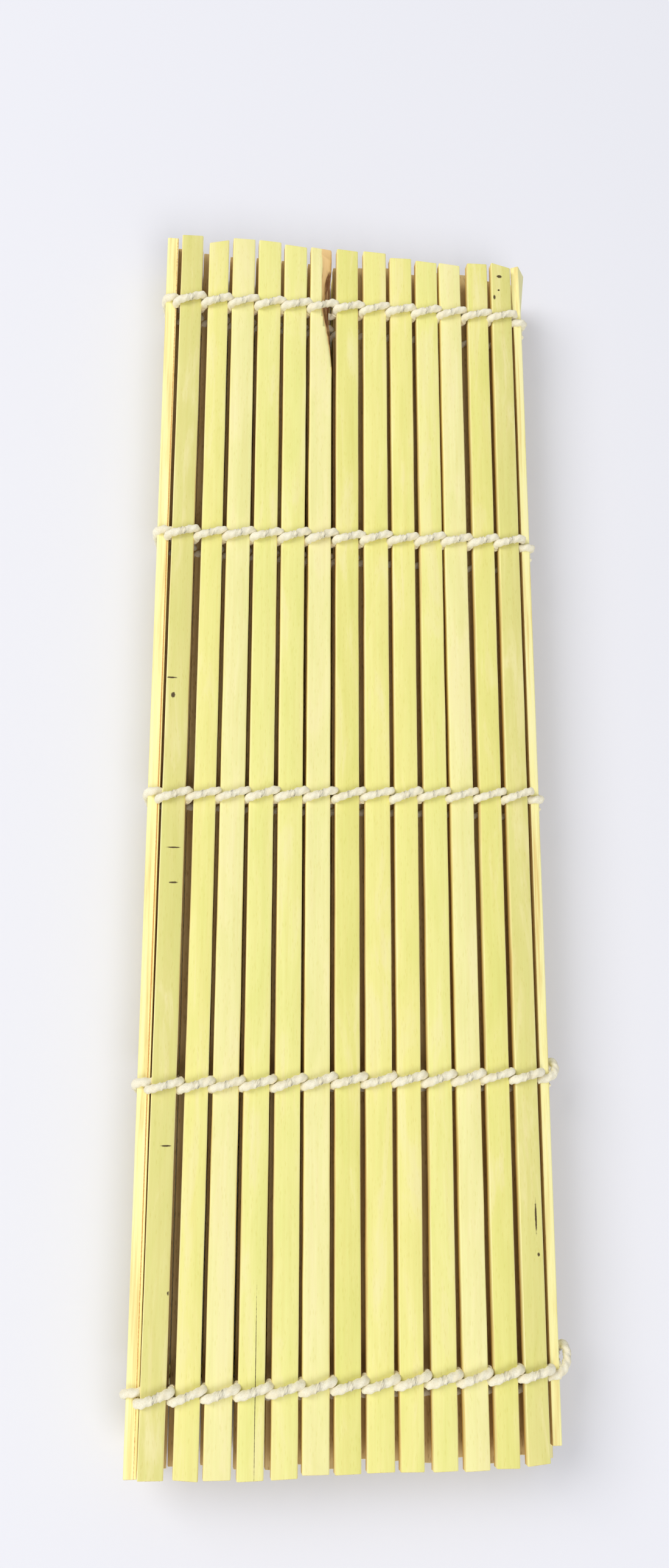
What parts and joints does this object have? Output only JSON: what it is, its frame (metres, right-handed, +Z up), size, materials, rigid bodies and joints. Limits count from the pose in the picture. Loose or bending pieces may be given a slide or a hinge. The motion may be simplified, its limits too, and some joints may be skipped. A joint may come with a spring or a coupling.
{
  "type": "sushi rolling mat",
  "caption": "Flexible mat of flat bamboo slats twined together with cotton string, stored folded flat; it opens out and rolls up to shape sushi.",
  "frame": {"origin": "under the centre of the folded mat, on the surface it lies on", "axes": "+Y along the slats, +X across them to the right of the front layer, +Z up through the layers, front layer on top"},
  "size_m": [0.0786, 0.24, 0.0154],
  "materials": {
    "bamboo": "dry, fine grained",
    "string": "matte twisted cotton"
  },
  "bodies": {
    "middle_layer": {"middle_slats": "bamboo", "middle_strings": "string"},
    "left_fold": {"left_fold_slat": "bamboo", "left_fold_ties": "string"},
    "front_01": {"front_slat_01": "bamboo", "front_ties_01": "string"},
    "front_02": {"front_slat_02": "bamboo", "front_ties_02": "string"},
    "front_03": {"front_slat_03": "bamboo", "front_ties_03": "string"},
    "front_04": {"front_slat_04": "bamboo", "front_ties_04": "string"},
    "front_05": {"front_slat_05": "bamboo", "front_ties_05": "string"},
    "front_06": {"front_slat_06": "bamboo", "front_ties_06": "string"},
    "front_07": {"front_slat_07": "bamboo", "front_ties_07": "string"},
    "front_08": {"front_slat_08": "bamboo", "front_ties_08": "string"},
    "front_09": {"front_slat_09": "bamboo", "front_ties_09": "string"},
    "front_10": {"front_slat_10": "bamboo", "front_ties_10": "string"},
    "front_11": {"front_slat_11": "bamboo", "front_ties_11": "string"},
    "front_12": {"front_slat_12": "bamboo", "front_ties_12": "string"},
    "front_13": {"front_slat_13": "bamboo", "front_ties_13": "string"},
    "right_fold": {"right_fold_slat": "bamboo", "right_fold_ties": "string"},
    "back_01": {"back_slat_01": "bamboo", "back_ties_01": "string"},
    "back_02": {"back_slat_02": "bamboo", "back_ties_02": "string"},
    "back_03": {"back_slat_03": "bamboo", "back_ties_03": "string"},
    "back_04": {"back_slat_04": "bamboo", "back_ties_04": "string"},
    "back_05": {"back_slat_05": "bamboo", "back_ties_05": "string"},
    "back_06": {"back_slat_06": "bamboo", "back_ties_06": "string"},
    "back_07": {"back_slat_07": "bamboo", "back_ties_07": "string"},
    "back_08": {"back_slat_08": "bamboo", "back_ties_08": "string"},
    "back_09": {"back_slat_09": "bamboo", "back_ties_09": "string"},
    "back_10": {"back_slat_10": "bamboo", "back_ties_10": "string"},
    "back_11": {"back_slat_11": "bamboo", "back_ties_11": "string"},
    "back_12": {"back_slat_12": "bamboo", "back_ties_12": "string"},
    "back_13": {"back_slat_13": "bamboo", "back_ties_13": "string"},
    "front_14": {"front_slat_14": "bamboo", "front_ties_14": "string"}
  },
  "joints": [
    {"name": "left_fold_inner_hinge", "type": "hinge", "parent": "middle_layer", "child": "left_fold", "pos_m": [-0.03657, 0, 0.00795], "axis": [0, -1, 0], "range_deg": [0, 90]},
    {"name": "left_fold_outer_hinge", "type": "hinge", "parent": "left_fold", "child": "front_01", "pos_m": [-0.03657, 0, 0.01265], "axis": [0, -1, 0], "range_deg": [0, 90]},
    {"name": "front_roll_02", "type": "hinge", "parent": "front_01", "child": "front_02", "pos_m": [-0.03058, 0, 0.0129], "axis": [0, -1, 0], "range_deg": [0, 22]},
    {"name": "front_roll_03", "type": "hinge", "parent": "front_02", "child": "front_03", "pos_m": [-0.02502, 0, 0.0129], "axis": [0, -1, 0], "range_deg": [0, 22]},
    {"name": "front_roll_04", "type": "hinge", "parent": "front_03", "child": "front_04", "pos_m": [-0.01946, 0, 0.0129], "axis": [0, -1, 0], "range_deg": [0, 22]},
    {"name": "front_roll_05", "type": "hinge", "parent": "front_04", "child": "front_05", "pos_m": [-0.0139, 0, 0.0129], "axis": [0, -1, 0], "range_deg": [0, 22]},
    {"name": "front_roll_06", "type": "hinge", "parent": "front_05", "child": "front_06", "pos_m": [-0.00834, 0, 0.0129], "axis": [0, -1, 0], "range_deg": [0, 22]},
    {"name": "front_roll_07", "type": "hinge", "parent": "front_06", "child": "front_07", "pos_m": [-0.00278, 0, 0.0129], "axis": [0, -1, 0], "range_deg": [0, 22]},
    {"name": "front_roll_08", "type": "hinge", "parent": "front_07", "child": "front_08", "pos_m": [0.00278, 0, 0.0129], "axis": [0, -1, 0], "range_deg": [0, 22]},
    {"name": "front_roll_09", "type": "hinge", "parent": "front_08", "child": "front_09", "pos_m": [0.00834, 0, 0.0129], "axis": [0, -1, 0], "range_deg": [0, 22]},
    {"name": "front_roll_10", "type": "hinge", "parent": "front_09", "child": "front_10", "pos_m": [0.0139, 0, 0.0129], "axis": [0, -1, 0], "range_deg": [0, 22]},
    {"name": "front_roll_11", "type": "hinge", "parent": "front_10", "child": "front_11", "pos_m": [0.01946, 0, 0.0129], "axis": [0, -1, 0], "range_deg": [0, 22]},
    {"name": "front_roll_12", "type": "hinge", "parent": "front_11", "child": "front_12", "pos_m": [0.02502, 0, 0.0129], "axis": [0, -1, 0], "range_deg": [0, 22]},
    {"name": "front_roll_13", "type": "hinge", "parent": "front_12", "child": "front_13", "pos_m": [0.03058, 0, 0.0129], "axis": [0, -1, 0], "range_deg": [0, 22]},
    {"name": "right_fold_inner_hinge", "type": "hinge", "parent": "middle_layer", "child": "right_fold", "pos_m": [0.03657, 0, 0.00745], "axis": [0, -1, 0], "range_deg": [0, 90]},
    {"name": "right_fold_outer_hinge", "type": "hinge", "parent": "right_fold", "child": "back_01", "pos_m": [0.03657, 0, 0.00275], "axis": [0, -1, 0], "range_deg": [0, 90]},
    {"name": "back_roll_02", "type": "hinge", "parent": "back_01", "child": "back_02", "pos_m": [0.03058, 0, 0.0025], "axis": [0, -1, 0], "range_deg": [0, 22]},
    {"name": "back_roll_03", "type": "hinge", "parent": "back_02", "child": "back_03", "pos_m": [0.02502, 0, 0.0025], "axis": [0, -1, 0], "range_deg": [0, 22]},
    {"name": "back_roll_04", "type": "hinge", "parent": "back_03", "child": "back_04", "pos_m": [0.01946, 0, 0.0025], "axis": [0, -1, 0], "range_deg": [0, 22]},
    {"name": "back_roll_05", "type": "hinge", "parent": "back_04", "child": "back_05", "pos_m": [0.0139, 0, 0.0025], "axis": [0, -1, 0], "range_deg": [0, 22]},
    {"name": "back_roll_06", "type": "hinge", "parent": "back_05", "child": "back_06", "pos_m": [0.00834, 0, 0.0025], "axis": [0, -1, 0], "range_deg": [0, 22]},
    {"name": "back_roll_07", "type": "hinge", "parent": "back_06", "child": "back_07", "pos_m": [0.00278, 0, 0.0025], "axis": [0, -1, 0], "range_deg": [0, 22]},
    {"name": "back_roll_08", "type": "hinge", "parent": "back_07", "child": "back_08", "pos_m": [-0.00278, 0, 0.0025], "axis": [0, -1, 0], "range_deg": [0, 22]},
    {"name": "back_roll_09", "type": "hinge", "parent": "back_08", "child": "back_09", "pos_m": [-0.00834, 0, 0.0025], "axis": [0, -1, 0], "range_deg": [0, 22]},
    {"name": "back_roll_10", "type": "hinge", "parent": "back_09", "child": "back_10", "pos_m": [-0.0139, 0, 0.0025], "axis": [0, -1, 0], "range_deg": [0, 22]},
    {"name": "back_roll_11", "type": "hinge", "parent": "back_10", "child": "back_11", "pos_m": [-0.01946, 0, 0.0025], "axis": [0, -1, 0], "range_deg": [0, 22]},
    {"name": "back_roll_12", "type": "hinge", "parent": "back_11", "child": "back_12", "pos_m": [-0.02502, 0, 0.0025], "axis": [0, -1, 0], "range_deg": [0, 22]},
    {"name": "back_roll_13", "type": "hinge", "parent": "back_12", "child": "back_13", "pos_m": [-0.03058, 0, 0.0025], "axis": [0, -1, 0], "range_deg": [0, 22]},
    {"name": "front_edge_hinge", "type": "hinge", "parent": "front_13", "child": "front_14", "pos_m": [0.03657, 0, 0.01265], "axis": [0, -1, 0], "range_deg": [0, 90]}
  ],
  "couplings": [
    {"joint": "left_fold_outer_hinge", "follows": "left_fold_inner_hinge", "ratio": 1},
    {"joint": "front_roll_03", "follows": "front_roll_02", "ratio": 1},
    {"joint": "front_roll_04", "follows": "front_roll_02", "ratio": 1},
    {"joint": "front_roll_05", "follows": "front_roll_02", "ratio": 1},
    {"joint": "front_roll_06", "follows": "front_roll_02", "ratio": 1},
    {"joint": "front_roll_07", "follows": "front_roll_02", "ratio": 1},
    {"joint": "front_roll_08", "follows": "front_roll_02", "ratio": 1},
    {"joint": "front_roll_09", "follows": "front_roll_02", "ratio": 1},
    {"joint": "front_roll_10", "follows": "front_roll_02", "ratio": 1},
    {"joint": "front_roll_11", "follows": "front_roll_02", "ratio": 1},
    {"joint": "front_roll_12", "follows": "front_roll_02", "ratio": 1},
    {"joint": "front_roll_13", "follows": "front_roll_02", "ratio": 1},
    {"joint": "right_fold_outer_hinge", "follows": "right_fold_inner_hinge", "ratio": 1},
    {"joint": "back_roll_03", "follows": "back_roll_02", "ratio": 1},
    {"joint": "back_roll_04", "follows": "back_roll_02", "ratio": 1},
    {"joint": "back_roll_05", "follows": "back_roll_02", "ratio": 1},
    {"joint": "back_roll_06", "follows": "back_roll_02", "ratio": 1},
    {"joint": "back_roll_07", "follows": "back_roll_02", "ratio": 1},
    {"joint": "back_roll_08", "follows": "back_roll_02", "ratio": 1},
    {"joint": "back_roll_09", "follows": "back_roll_02", "ratio": 1},
    {"joint": "back_roll_10", "follows": "back_roll_02", "ratio": 1},
    {"joint": "back_roll_11", "follows": "back_roll_02", "ratio": 1},
    {"joint": "back_roll_12", "follows": "back_roll_02", "ratio": 1},
    {"joint": "back_roll_13", "follows": "back_roll_02", "ratio": 1},
    {"joint": "front_edge_hinge", "follows": "right_fold_inner_hinge", "ratio": 1}
  ]
}
